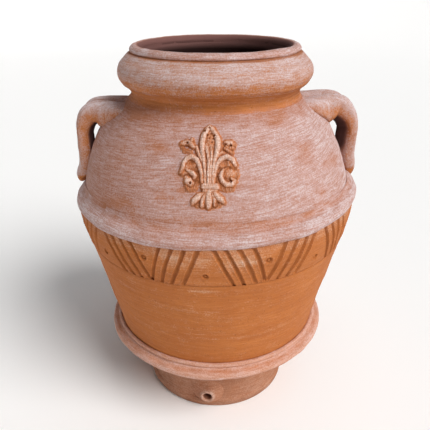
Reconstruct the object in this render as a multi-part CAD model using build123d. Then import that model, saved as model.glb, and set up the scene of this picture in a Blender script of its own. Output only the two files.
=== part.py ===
from build123d import *
import math
import os

# Terracotta storage jar (orcio) on a round foot, with two strap handles, a lily in relief
# and a drain spout. Millimetres. +Z is up, the origin is the jar's axis at the resting
# plane of the foot, and the front (lily and spout) faces -Y.

# --- driving dimensions -------------------------------------------------------------
HEIGHT = 700                # floor to the top of the lip
WALL = 24                   # thickness of the thrown wall

FOOT_R = 144                # outside of the foot's wall
FOOT_RIM_R = 148            # the slab that the foot stands on
FOOT_SLAB_H = 20
FOOT_TOP_Z = 126
FOOT_WALL = 22

SPOUT_AZ = -7               # degrees from the front, towards +X
SPOUT_Z = 38
SPOUT_R = 13.5
SPOUT_HOLE_R = 8.25
SPOUT_REACH = 15            # how far it stands out of the foot

COLLAR_EDGE_R = 222
BEAD_R = 4.5                # radius of the small bead laid above the collar

BELT_Z = (434, 462)         # the applied belt at the widest point
BELT_R = 263.5

NECK_Z = (606, 634)         # short concave neck under the rolled rim
MOUTH_R = 129
ROLL_R = 170.5
ROLL_TOP_Z = 688
LIP_R = 149

BAND_Z = (366, 432)         # the band of incised strokes
STROKE_W, STROKE_DEPTH = 6.6, 2.6
STROKES = 4                 # strokes in each slanted group
FRONT_APEX = (-67.8, 43.0, 3)    # first lower apex, spacing and count of the front periods
PERIODS = 8
DIMPLE_R = 6
GUIDE_Z = 364

HANDLE_WIDTH = 50           # of the strap, along the wall
LILY_AZ, LILY_Z, LILY_TILT = -2.75, 545, 36
LILY_RELIEF = 8


# --- outside profiles, as (radius, height) --------------------------------------------
LOWER_WALL = [(202.5, 168), (222, 260), (241.5, 340), (256, 396), (259.5, 434), (256.5, 448)]
SHOULDER = [(256.5, 448), (245.5, 482), (228, 520), (202, 558), (171, 592), (157, NECK_Z[0])]
NECK = [(157, NECK_Z[0]), (148.5, 618), (159.5, NECK_Z[1])]
ROLL = [(159.5, NECK_Z[1]), (ROLL_R, 656), (148, ROLL_TOP_Z)]
WALL_BOTTOM, SEAM, SHOULDER_TOP = LOWER_WALL[0], SHOULDER[0], SHOULDER[-1]


def in_band(z):
    """Outside radius of the wall at height z, on the straight line across the incised band."""
    (r0, z0), (r1, z1) = (248.5, BAND_Z[0]), (259.5, BAND_Z[1])
    return r0 + (r1 - r0) * (z - z0) / (z1 - z0)


def moved(points, dr, dz):
    return [(r + dr, z + dz) for r, z in points]


def turned(*edges):
    """Solid of revolution about Z from a closed profile in the (radius, height) plane."""
    return revolve(Plane.XZ * make_face(Curve() + list(edges)), Axis.Z)


def radial(azimuth):
    """Outward horizontal direction at an azimuth in degrees from the front."""
    a = math.radians(azimuth)
    return Vector(math.sin(a), -math.cos(a), 0)


def at(azimuth, r, z):
    return radial(azimuth) * r + Vector(0, 0, z)


# --- the thrown body ------------------------------------------------------------------
def foot_slab():
    slab = Pos(0, 0, FOOT_SLAB_H / 2) * Cylinder(FOOT_RIM_R, FOOT_SLAB_H)
    return fillet(slab.edges().group_by(Axis.Z)[-1], 4)


def spout_axis():
    """Plane on the jar's axis at the spout's height, its normal along the spout."""
    return Plane(origin=(0, 0, SPOUT_Z), z_dir=radial(SPOUT_AZ))


def along_spout(radius, start, end):
    return spout_axis() * Pos(0, 0, (start + end) / 2) * Cylinder(radius, end - start)


def foot_wall():
    inner = FOOT_R - FOOT_WALL
    wall = turned(
        Line((inner, FOOT_SLAB_H), (FOOT_RIM_R - 4, FOOT_SLAB_H)),
        ThreePointArc((FOOT_RIM_R - 4, FOOT_SLAB_H), (FOOT_R, 60), (FOOT_R + 2, FOOT_TOP_Z)),
        Line((FOOT_R + 2, FOOT_TOP_Z), (inner, FOOT_TOP_Z)),
        Line((inner, FOOT_TOP_Z), (inner, FOOT_SLAB_H)),
    )
    return wall - along_spout(SPOUT_R, 0, FOOT_R + SPOUT_REACH)


def drain_spout():
    tip = FOOT_R + SPOUT_REACH
    spout = along_spout(SPOUT_R, FOOT_R - FOOT_WALL, tip)
    lip = spout.edges().filter_by(GeomType.CIRCLE).sort_by(Axis.Y)[0]
    spout = fillet(lip, 3)
    spout -= along_spout(SPOUT_HOLE_R, 0, tip + 5)
    return spout - Pos(0, 0, FOOT_TOP_Z / 2) * Cylinder(FOOT_R - FOOT_WALL, FOOT_TOP_Z)


def base_outline():
    """The outside of the curved bottom, from the foot up to the lower wall."""
    return ThreePointArc((FOOT_R + 2, FOOT_TOP_Z), (181, 140), WALL_BOTTOM)


def body_base():
    """The jar's curved bottom, between the foot and the lower wall."""
    r0, z0 = WALL_BOTTOM
    inner = FOOT_R - FOOT_WALL
    return turned(
        Line((inner, FOOT_TOP_Z), (FOOT_R + 2, FOOT_TOP_Z)),
        base_outline(),
        Line((r0, z0), (r0 - WALL, z0)),
        ThreePointArc((r0 - WALL, z0), (155, 150), (inner, FOOT_TOP_Z)),
    )


def lower_collar():
    """The flange around the bottom of the cone: a cove above, a rounded edge, a coved underside."""
    return turned(
        base_outline(),
        ThreePointArc(WALL_BOTTOM, (208, 160.5), (215, 157)),
        ThreePointArc((215, 157), (COLLAR_EDGE_R, 148), (216, 139)),
        ThreePointArc((216, 139), (184, 130), (FOOT_R + 2, FOOT_TOP_Z)),
    )


def collar_bead():
    """The small step laid in the angle between the lower wall and the collar."""
    r0, z0 = WALL_BOTTOM
    bead = Plane.XZ * Pos(r0 + 3, z0 - 3) * Circle(BEAD_R)
    return revolve(bead, Axis.Z) - body_base() - lower_collar() - lower_shell()


def lower_shell():
    """The lower wall before it is incised."""
    inside = moved(LOWER_WALL, -WALL, 0)
    return turned(
        Spline(*LOWER_WALL),
        Line(LOWER_WALL[-1], inside[-1]),
        Spline(*inside),
        Line(inside[0], LOWER_WALL[0]),
    )


def apexes():
    """Azimuths of the zigzag's lower apexes, one more than the number of periods."""
    first, step, count = FRONT_APEX
    rest = (360 - step * count) / (PERIODS - count)
    angles = [first + step * i for i in range(count + 1)]
    return angles + [angles[-1] + rest * (i + 1) for i in range(PERIODS - count)]


def groove(azimuth_low, azimuth_high):
    """A straight round-bottomed stroke across the band, from its lower end to its upper one."""
    out = STROKE_W / 2 - STROKE_DEPTH
    low = at(azimuth_low, in_band(BAND_Z[0]) + out, BAND_Z[0])
    high = at(azimuth_high, in_band(BAND_Z[1]) + out, BAND_Z[1])
    path = Plane(origin=low, z_dir=high - low)
    length = (high - low).length
    return path * Pos(0, 0, length / 2) * Cylinder(STROKE_W / 2, length)


def strokes():
    """Four parallel strokes up each side of every zigzag."""
    cuts = []
    angles = apexes()
    for left, right in zip(angles, angles[1:]):
        span = right - left
        for i in range(STROKES):
            low = left + span * (0.02 + 0.09 * i)
            high = left + span * (0.17 + 0.095 * i)
            cuts.append(groove(low, high))
            cuts.append(groove(left + right - low, left + right - high))
    return cuts


def dimples():
    """One thumb dimple in every triangle between the groups of strokes."""
    cuts = []
    angles = apexes()
    for left, right in zip(angles, angles[1:]):
        for azimuth, z in ((left, 420), ((left + right) / 2, 388)):
            cuts.append(Pos(*at(azimuth, in_band(z) + 4, z)) * Sphere(DIMPLE_R))
    return cuts


def lower_wall():
    guide = Plane.XZ * Pos(in_band(GUIDE_Z) + 1, GUIDE_Z) * Circle(2)
    return lower_shell() - revolve(guide, Axis.Z) - strokes() - dimples()


def shoulder():
    inside = moved(SHOULDER, -WALL * 0.9, -WALL * 0.42)
    inside[0] = (SEAM[0] - WALL, SEAM[1])
    inside[-1] = (MOUTH_R + 4, NECK_Z[0])
    return turned(
        Spline(*SHOULDER),
        Line(SHOULDER_TOP, inside[-1]),
        Spline(*inside),
        Line(inside[0], SEAM),
    )


def outer_body():
    """Everything inside the outer surface of the lower wall, shoulder and neck."""
    bottom, top = WALL_BOTTOM[1], NECK_Z[1]
    return turned(
        Line((0, bottom), WALL_BOTTOM),
        Spline(*LOWER_WALL),
        Spline(*SHOULDER),
        ThreePointArc(*NECK),
        Line(NECK[-1], (0, top)),
        Line((0, top), (0, bottom)),
    )


def belt():
    low, high = BELT_Z
    coil = turned(
        Line((240, low), (259, low)),
        ThreePointArc((259, low), (BELT_R, low + 8), (251.5, high)),
        Line((251.5, high), (240, high)),
        Line((240, high), (240, low)),
    )
    return coil - outer_body()


def neck():
    return turned(
        Line((MOUTH_R + 4, NECK_Z[0]), SHOULDER_TOP),
        ThreePointArc(*NECK),
        Line(NECK[-1], (MOUTH_R, NECK_Z[1])),
        Line((MOUTH_R, NECK_Z[1]), (MOUTH_R + 4, NECK_Z[0])),
    )


def rim_roll():
    low, high = NECK_Z[1], ROLL_TOP_Z
    return turned(
        Line((MOUTH_R, low), ROLL[0]),
        Spline(*ROLL),
        Line(ROLL[-1], (MOUTH_R, high)),
        Line((MOUTH_R, high), (MOUTH_R, low)),
    )


def lip():
    low, crest = ROLL_TOP_Z, ((LIP_R + MOUTH_R) / 2, HEIGHT)
    return turned(
        Line((MOUTH_R, low), (LIP_R - 1, low)),
        TangentArc(crest, (LIP_R - 1, low), tangent=(1, 0)),
        TangentArc(crest, (MOUTH_R, low), tangent=(-1, 0)),
    )


# --- handles --------------------------------------------------------------------------
# Outline of each strap in the plane through the jar's axis, as (radius, height): over the
# top and down to the stub, then back up the inside of the finger gap.
LEFT_HANDLE = dict(
    azimuth=-88.5,
    outside=[(150, 600), (203, 603), (239, 587), (252, 549), (253, 502), (259, 470), (254, 456)],
    inside=[(231, 505), (228, 540), (215, 563), (180, 567)],
)
RIGHT_HANDLE = dict(
    azimuth=96.0,
    outside=[(150, 603), (207, 608), (249, 594), (265, 552), (263, 504), (267.5, 470), (257, 450)],
    inside=[(240, 500), (242, 541), (228, 566), (185, 570)],
)
VALLEY_DEPTH, VALLEY_HALF_WIDTH = 3.5, 8


def handle(azimuth, outside, inside):
    """A strap with rounded edges and a shallow valley, cut to the jar's wall."""
    out = radial(azimuth)
    upright = Plane(origin=(0, 0, 0), x_dir=out, z_dir=out.cross(Vector(0, 0, 1)))
    foot_r, foot_z = outside[-1]
    outline = make_face(Curve() + [
        Spline(*outside),
        Polyline((foot_r, foot_z), (foot_r - 25, foot_z), (inside[0][0] - 10, inside[0][1]), inside[0]),
        Spline(*inside),
        Polyline(inside[-1], (outside[0][0], inside[-1][1]), outside[0]),
    ])
    strap = extrude(upright * outline, HANDLE_WIDTH / 2, both=True)
    strap = fillet(strap.edges().filter_by(GeomType.BSPLINE), 8)

    bed = moved(outside[:5], -VALLEY_DEPTH, -VALLEY_DEPTH)
    above, beyond = HEIGHT, BELT_R + 40
    valley = make_face(Curve() + [
        Spline(*bed),
        Polyline(bed[-1], (beyond, bed[-1][1]), (beyond, above), (bed[0][0], above), bed[0]),
    ])
    strap -= extrude(upright * valley, VALLEY_HALF_WIDTH, both=True)
    return strap - outer_body() - belt()


# --- lily -----------------------------------------------------------------------------
# Flat outlines in the lily's own plane, as (sideways, up the slope). The left side is drawn
# and the right side is its mirror image.
CENTRE_PETAL = [(-6.5, -25), (-6, -4), (-11, 20), (-15, 40), (-10, 56), (0, 65)]
SIDE_PETAL = [(-8, -24), (-10, -2), (-19, 13), (-30, 17), (-41, 8), (-44, -8), (-35, -13),
              (-22, -8), (-15, -16)]
SIDE_PETAL_TIP = ((-28, -21), 11)
STAMEN_STEM = [(-5.5, -4), (-10, 8), (-16, 20), (-25, 29)]
STAMEN_STEM_W = 4.5
BELL_LOBES = [((-32, 35), 8), ((-37, 29), 6), ((-27, 27), 6)]
COLLAR_BAND = (20, 12, -31)      # width, height and centre height
TAIL_LOBES = [((0, -48.5), (12, 27), 0), ((-9, -46), (11, 26), -24), ((-15.5, -42), (9, 26), -58)]


def lily_plane():
    lean = math.radians(LILY_TILT)
    out = radial(LILY_AZ)
    normal = out * math.cos(lean) + Vector(0, 0, math.sin(lean))
    sideways = Vector(0, 0, 1).cross(out)
    return Plane(origin=at(LILY_AZ, 209, LILY_Z), x_dir=sideways, z_dir=normal)


def relief_layer():
    """A layer as thick as the relief, lying on the outside of the shoulder."""
    lean = math.radians(LILY_TILT)
    raised = moved(SHOULDER[1:], LILY_RELIEF * math.cos(lean), LILY_RELIEF * math.sin(lean))
    layer = turned(
        Spline(*raised),
        Line(raised[-1], (120, raised[-1][1])),
        Line((120, raised[-1][1]), (120, raised[0][1])),
        Line((120, raised[0][1]), raised[0]),
    )
    return layer - outer_body()


def pressed(layer, *faces):
    """Solid of the flat outlines, standing on the curved shoulder."""
    prism = Part() + [extrude(lily_plane() * face, 45, both=True) for face in faces]
    return layer & prism


def flip(face):
    return mirror(face, Plane.YZ)


def lily():
    """The lily's hand-laid pieces by node name."""
    layer = relief_layer()
    width, height, level = COLLAR_BAND
    band = Pos(0, level) * RectangleRounded(width, height, 3)

    mirrored = [(-x, y) for x, y in reversed(CENTRE_PETAL)]
    centre = make_face(Curve() + [
        Spline(*CENTRE_PETAL),
        Spline(*mirrored),
        Line(mirrored[-1], CENTRE_PETAL[0]),
    ]) - band

    (tip_x, tip_y), tip_r = SIDE_PETAL_TIP
    side = make_face(Curve() + [Spline(*SIDE_PETAL), Line(SIDE_PETAL[-1], SIDE_PETAL[0])])
    side = side + Pos(tip_x, tip_y) * Circle(tip_r) - centre - band

    stem = make_face(Curve() + [
        Spline(*STAMEN_STEM),
        Line(STAMEN_STEM[-1], (STAMEN_STEM[-1][0] - STAMEN_STEM_W, STAMEN_STEM[-1][1])),
        Spline(*[(x - STAMEN_STEM_W, y) for x, y in reversed(STAMEN_STEM)]),
        Line((STAMEN_STEM[0][0] - STAMEN_STEM_W, STAMEN_STEM[0][1]), STAMEN_STEM[0]),
    ])
    stamen = Sketch() + stem + [Pos(*centre_of) * Circle(r) for centre_of, r in BELL_LOBES]
    stamen = stamen - centre - side

    lobes = [Pos(*middle) * Rot(0, 0, turn) * Ellipse(w / 2, h / 2) for middle, (w, h), turn in TAIL_LOBES]
    tail = Sketch() + lobes + [flip(lobe) for lobe in lobes[1:]] - band

    return {
        "lily_centre_petal": pressed(layer, *centre.faces()),
        "lily_left_petal": pressed(layer, *side.faces()),
        "lily_right_petal": pressed(layer, *flip(side).faces()),
        "lily_left_stamen": pressed(layer, *stamen.faces()),
        "lily_right_stamen": pressed(layer, *flip(stamen).faces()),
        "lily_band": pressed(layer, band),
        "lily_tail": pressed(layer, *tail.faces()),
    }


# --- the jar --------------------------------------------------------------------------
nodes = {
    "foot_slab": foot_slab(),
    "foot_wall": foot_wall(),
    "drain_spout": drain_spout(),
    "body_base": body_base(),
    "lower_collar": lower_collar(),
    "collar_bead": collar_bead(),
    "lower_wall": lower_wall(),
    "belt": belt(),
    "shoulder": shoulder(),
    "neck": neck(),
    "rim_roll": rim_roll(),
    "lip": lip(),
    "handle_left": handle(**LEFT_HANDLE),
    "handle_right": handle(**RIGHT_HANDLE),
    **lily(),
}

os.makedirs("parts", exist_ok=True)
for name, part in nodes.items():
    export_step(part, f"parts/{name}.step")
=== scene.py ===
import math

import bmesh
import bpy
import numpy as np
from mathutils import Euler, Matrix, Vector


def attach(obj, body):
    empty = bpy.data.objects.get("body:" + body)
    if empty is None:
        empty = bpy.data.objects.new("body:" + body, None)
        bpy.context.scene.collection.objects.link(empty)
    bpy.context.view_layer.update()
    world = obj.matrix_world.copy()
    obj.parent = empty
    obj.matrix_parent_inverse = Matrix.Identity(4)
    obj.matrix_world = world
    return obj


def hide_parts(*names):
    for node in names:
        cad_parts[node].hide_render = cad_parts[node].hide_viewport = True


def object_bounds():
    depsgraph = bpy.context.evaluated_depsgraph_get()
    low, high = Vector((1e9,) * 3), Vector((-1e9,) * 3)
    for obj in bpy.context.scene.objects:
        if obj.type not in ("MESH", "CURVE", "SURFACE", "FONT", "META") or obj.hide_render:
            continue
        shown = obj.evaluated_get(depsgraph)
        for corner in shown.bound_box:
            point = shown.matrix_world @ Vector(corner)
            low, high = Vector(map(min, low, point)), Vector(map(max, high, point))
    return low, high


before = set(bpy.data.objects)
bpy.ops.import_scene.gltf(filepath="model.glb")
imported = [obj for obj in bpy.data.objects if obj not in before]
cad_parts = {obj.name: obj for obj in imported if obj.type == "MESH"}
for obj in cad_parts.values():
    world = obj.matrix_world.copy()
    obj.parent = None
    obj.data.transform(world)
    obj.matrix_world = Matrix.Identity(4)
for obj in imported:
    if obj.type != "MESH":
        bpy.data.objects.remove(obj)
cad_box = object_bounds()
HEIGHT = 700.0
MM = cad_box[1].z / HEIGHT       # metres per millimetre of the outlines

# Azimuths are degrees from the front (-Y) towards +X, outlines are (radius, height) in mm.
SEED = 4200
WALL = 24.0
FOOT_R, FOOT_WALL = 144.0, 22.0
SPOUT_AZ, SPOUT_Z, SPOUT_HOLE_R, SPOUT_CUT_R = -7.0, 38.0, 8.25, 11.5
MOUTH_R = 129.0
MOUTH_SHADE = 673, 684           # heights between which the inside turns from lit to dark
BELT_MIDDLE = 446.0
LEFT_AZ, RIGHT_AZ = -88.5, 96.0  # the two handles

CONE = [(201, 160), (202.5, 168), (222, 260), (241.5, 340), (256, 396), (259.5, 434), (256.5, 448)]
SHOULDER = [(248, 448), (244.5, 466), (239.8, 484), (226.8, 520), (202, 558), (171, 592), (157, 606),
            (154.5, 609)]
BAND_BOTTOM, BAND_TOP, BAND_R = 360.0, 434.0, 254.0

LILY_AZ, LILY_R, LILY_Z, LILY_TILT = -4.3, 209.0, 545.0, 36.0


# --- numbers ----------------------------------------------------------------------------
def catmull(points, step):
    """Catmull-Rom curve through the points, resampled at an even step (mm)."""
    p = np.asarray(points, float)
    p = np.vstack([2 * p[0] - p[1], p, 2 * p[-1] - p[-2]])
    t = np.linspace(0, 1, 33)[:-1, None]
    out = []
    for a, b, c, d in zip(p, p[1:], p[2:], p[3:]):
        out.append(0.5 * (2 * b + (c - a) * t + (2 * a - 5 * b + 4 * c - d) * t**2
                          + (3 * b - a - 3 * c + d) * t**3))
    out.append(p[-2:-1])
    return resample(np.vstack(out), step)


def resample(path, step):
    path = np.asarray(path, float)
    s = np.concatenate([[0], np.cumsum(np.linalg.norm(np.diff(path, axis=0), axis=1))])
    n = max(1, round(s[-1] / step))
    at = np.linspace(0, s[-1], n + 1)
    return np.stack([np.interp(at, s, path[:, k]) for k in range(path.shape[1])], 1)


def smooth(x, low, high):
    t = np.clip((x - low) / (high - low), 0, 1)
    return t * t * (3 - 2 * t)


def bump(x, centre, width):
    return np.exp(-((x - centre) / width) ** 2)


def turn(azimuth):
    """Azimuth difference wrapped to -180..180."""
    return (azimuth + 180) % 360 - 180


class Noise:
    """Smooth random values over azimuth and height, periodic around the jar, about -1..1."""

    def __init__(self, number, around, spacing):
        self.rows, self.around, self.spacing = int(800 / spacing) + 8, around, spacing
        self.table = np.random.default_rng(SEED + number).uniform(-1, 1, (self.rows, around))

    def __call__(self, az, z):
        u, v = (az / 360 % 1) * self.around, z / self.spacing + 4
        i, j = np.floor(u).astype(int), np.floor(v).astype(int)
        f, g = u - i, v - j
        f, g = f * f * (3 - 2 * f), g * g * (3 - 2 * g)
        i0, i1 = i % self.around, (i + 1) % self.around
        j0, j1 = np.clip(j, 0, self.rows - 1), np.clip(j + 1, 0, self.rows - 1)
        t = self.table
        low = t[j0, i0] * (1 - f) + t[j0, i1] * f
        return low * (1 - g) + (t[j1, i0] * (1 - f) + t[j1, i1] * f) * g


lumps, dents = Noise(1, 16, 48), Noise(2, 60, 13)
ridges, fine_ridges, grit = Noise(3, 5, 6.5), Noise(4, 9, 2.6), Noise(5, 420, 3.2)
patches, blots, runs = Noise(6, 22, 34), Noise(7, 70, 11), Noise(8, 26, 3.4)
edge_wobble = Noise(9, 34, 400)


def warp(az, r, z):
    """The jar's own unevenness: the belt sits a little higher on the right, and the rings aren't true."""
    near_belt = np.where(z < BELT_MIDDLE, bump(z, BELT_MIDDLE, 62), bump(z, BELT_MIDDLE, 24))
    tilt = (0.8 + 7.0 * np.sin(np.radians(az))) * near_belt
    tilt = tilt - 1.7 * (1 + np.cos(np.radians(az))) * smooth(z, 655, 690)
    oval = 1 + 0.0022 * np.cos(np.radians(2 * az + 40)) * smooth(z, 20, 200)
    return r * oval, z + tilt


def skin(az, z):
    """Height of the thrown surface above its outline, in mm."""
    grow = smooth(z, 4, 40)
    return grow * (0.95 * lumps(az, z) + 0.34 * dents(az, z) + 0.28 * ridges(az, z)
                   + 0.15 * fine_ridges(az, z) + 0.10 * grit(az, z))


def flow_of(az, r, z):
    """Coordinates for the brushed lines: level, but climbing from left to right on the shoulder."""
    a = np.radians(az)
    x, y = r * np.sin(a), -r * np.cos(a)
    climb = np.sign(x) * 0.00125 * x * x / (1 + (x / 185) ** 2)
    climb = climb * smooth(z, 452, 515) * (1 - smooth(z, 552, 622))
    return np.stack([x, y, z - climb + 1.3 * lumps(az, z)], -1) * MM


# --- meshes -----------------------------------------------------------------------------
def make_object(name, verts, faces, uvs, tone, flow, material, nodes, sharp=38):
    """A closed mesh in the frame. verts are mm; tone is (wash, worn, dark, inside) per vertex."""
    mesh = bpy.data.meshes.new(name)
    mesh.from_pydata((verts * MM).tolist(), [], faces)
    layer = mesh.uv_layers.new(name="OFBake")
    layer.data.foreach_set("uv", np.ascontiguousarray(uvs, np.float32).ravel())
    colour = mesh.attributes.new("tone", "FLOAT_COLOR", "POINT")
    colour.data.foreach_set("color", np.clip(tone, (-1, 0, 0, 0), 1).astype(np.float32).ravel())
    lines = mesh.attributes.new("flow", "FLOAT_VECTOR", "POINT")
    lines.data.foreach_set("vector", flow.astype(np.float32).ravel())
    bm = bmesh.new()
    bm.from_mesh(mesh)
    if bm.calc_volume(signed=True) < 0:
        bmesh.ops.reverse_faces(bm, faces=bm.faces)
    bm.to_mesh(mesh)
    bm.free()
    mesh.shade_smooth()
    mesh.set_sharp_from_angle(angle=math.radians(sharp))
    mesh.materials.append(material)
    obj = bpy.data.objects.new(name, mesh)
    bpy.context.scene.collection.objects.link(obj)
    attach(obj, "root")
    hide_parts(*nodes)
    return obj


def grid_faces(rows, columns):
    """Quads of a grid that closes on itself in both directions."""
    j, i = np.meshgrid(np.arange(rows), np.arange(columns), indexing="ij")
    a, b = j * columns + i, j * columns + (i + 1) % columns
    c, d = (j + 1) % rows * columns + (i + 1) % columns, (j + 1) % rows * columns + i
    return np.stack([a, b, c, d], -1).reshape(-1, 4)


def folded_uvs(v_edges, rows, columns, strips):
    """UVs of a closed grid, its turn cut into equal strips laid one above another."""
    per = math.ceil(columns / strips)
    j, i = np.meshgrid(np.arange(rows), np.arange(columns), indexing="ij")
    strip, k = i // per, i % per
    margin = 0.03
    u0, u1 = (k + 0.02 * per) / (per * 1.04), (k + 1 + 0.02 * per) / (per * 1.04)
    v0 = (strip + margin + (1 - 2 * margin) * v_edges[j]) / strips
    v1 = (strip + margin + (1 - 2 * margin) * v_edges[j + 1]) / strips
    return np.stack([np.stack([u0, v0], -1), np.stack([u1, v0], -1),
                     np.stack([u1, v1], -1), np.stack([u0, v1], -1)], -2).reshape(-1, 4, 2)


def ring(name, nodes, material, outer, hidden, columns, tone_of, relief=None, rough=1.0,
         strips=None):
    """A turned piece: the outer outline carries the detail, and the hidden one closes it."""
    outer, hidden = np.asarray(outer, float), np.asarray(hidden, float)
    path = np.vstack([outer, hidden])
    shown = np.concatenate([np.ones(len(outer)), np.zeros(len(hidden))])
    ahead = np.roll(path, -1, 0) - np.roll(path, 1, 0)
    ahead[0], ahead[len(outer) - 1] = outer[1] - outer[0], outer[-1] - outer[-2]
    normal = np.stack([ahead[:, 1], -ahead[:, 0]], 1)
    normal /= np.linalg.norm(normal, axis=1)[:, None] + 1e-9
    area = np.sum(path[:, 0] * np.roll(path[:, 1], -1) - np.roll(path[:, 0], -1) * path[:, 1])
    if area < 0:
        normal = -normal
    az = np.arange(columns) * 360.0 / columns - 180
    azimuth = np.broadcast_to(az, (len(path), columns))
    z0, r0 = path[:, 1:2] + 0 * azimuth, path[:, 0:1] + 0 * azimuth
    height = rough * skin(azimuth, z0)
    if relief is not None:
        height = height + relief(azimuth, z0)
    height = height * shown[:, None]
    r, z = r0 + height * normal[:, :1], z0 + height * normal[:, 1:]
    r, z = warp(azimuth, r, z)
    a = np.radians(azimuth)
    verts = np.stack([r * np.sin(a), -r * np.cos(a), z], -1).reshape(-1, 3)
    step = np.linalg.norm(np.roll(path, -1, 0) - path, axis=1)
    step *= np.where((shown > 0) & (np.roll(shown, -1) > 0), 1, 0.12)
    edges = np.concatenate([[0], np.cumsum(step)]) / step.sum()
    if strips is None:
        strips = int(np.clip(round(math.sqrt(2 * math.pi * path[:, 0].max() / step.sum())), 1, 6))
    tone = tone_of(azimuth, z0, np.broadcast_to(normal[:, 1:], azimuth.shape), r0)
    tone = np.stack([np.broadcast_to(t, azimuth.shape) for t in tone], -1)
    # The hidden faces take the inside's colour, painted as shade: dark mauve high up, near-black shadow
    # below MOUTH_SHADE.
    hidden_here = shown[:, None] == 0
    tone[..., 3] = np.where(hidden_here, 1.0, tone[..., 3])
    tone[..., 2] = np.where(hidden_here, 1 - smooth(z0, *MOUTH_SHADE), tone[..., 2])
    flow = flow_of(azimuth, r, z)
    faces = grid_faces(len(path), columns)
    return make_object(name, verts, faces.tolist(), folded_uvs(edges, len(path), columns, strips),
                       tone.reshape(-1, 4), flow.reshape(-1, 3), material, nodes)


# --- materials --------------------------------------------------------------------------
class Graph:
    """Small helper for building a node tree."""

    def __init__(self, name):
        self.material = bpy.data.materials.new(name)
        self.material.use_nodes = True
        self.nodes, self.links = self.material.node_tree.nodes, self.material.node_tree.links
        self.nodes.clear()

    def add(self, kind, **settings):
        node = self.nodes.new(kind)
        for key, value in settings.items():
            setattr(node, key, value)
        return node

    def join(self, source, target):
        self.links.new(source, target)

    def put(self, socket, value):
        if isinstance(value, bpy.types.NodeSocket):
            self.links.new(value, socket)
        else:
            socket.default_value = value

    def maths(self, operation, a, b=0.0, c=0.0, clamp=False):
        node = self.add("ShaderNodeMath", operation=operation, use_clamp=clamp)
        for socket, value in zip(node.inputs, (a, b, c)):
            self.put(socket, value)
        return node.outputs[0]

    def noise(self, vector, scale, detail=3.0, roughness=0.55, stretch=None, distortion=0.0):
        if stretch is not None:
            node = self.add("ShaderNodeVectorMath", operation="MULTIPLY")
            self.put(node.inputs[0], vector)
            node.inputs[1].default_value = stretch
            vector = node.outputs[0]
        node = self.add("ShaderNodeTexNoise")
        self.put(node.inputs["Vector"], vector)
        node.inputs["Scale"].default_value = scale
        node.inputs["Detail"].default_value = detail
        node.inputs["Roughness"].default_value = roughness
        node.inputs["Distortion"].default_value = distortion
        return node.outputs["Fac"]

    def step(self, value, low, high, out_low=0.0, out_high=1.0):
        node = self.add("ShaderNodeMapRange", interpolation_type="SMOOTHSTEP")
        for socket, number in zip(node.inputs[:5], (value, low, high, out_low, out_high)):
            self.put(socket, number)
        return node.outputs[0]

    def mix(self, factor, a, b, blend="MIX"):
        node = self.add("ShaderNodeMix", data_type="RGBA", blend_type=blend)
        self.put(node.inputs[0], factor)
        for socket, value in ((node.inputs[6], a), (node.inputs[7], b)):
            self.put(socket, value if isinstance(value, bpy.types.NodeSocket) else (*value, 1.0))
        return node.outputs[2]


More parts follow.
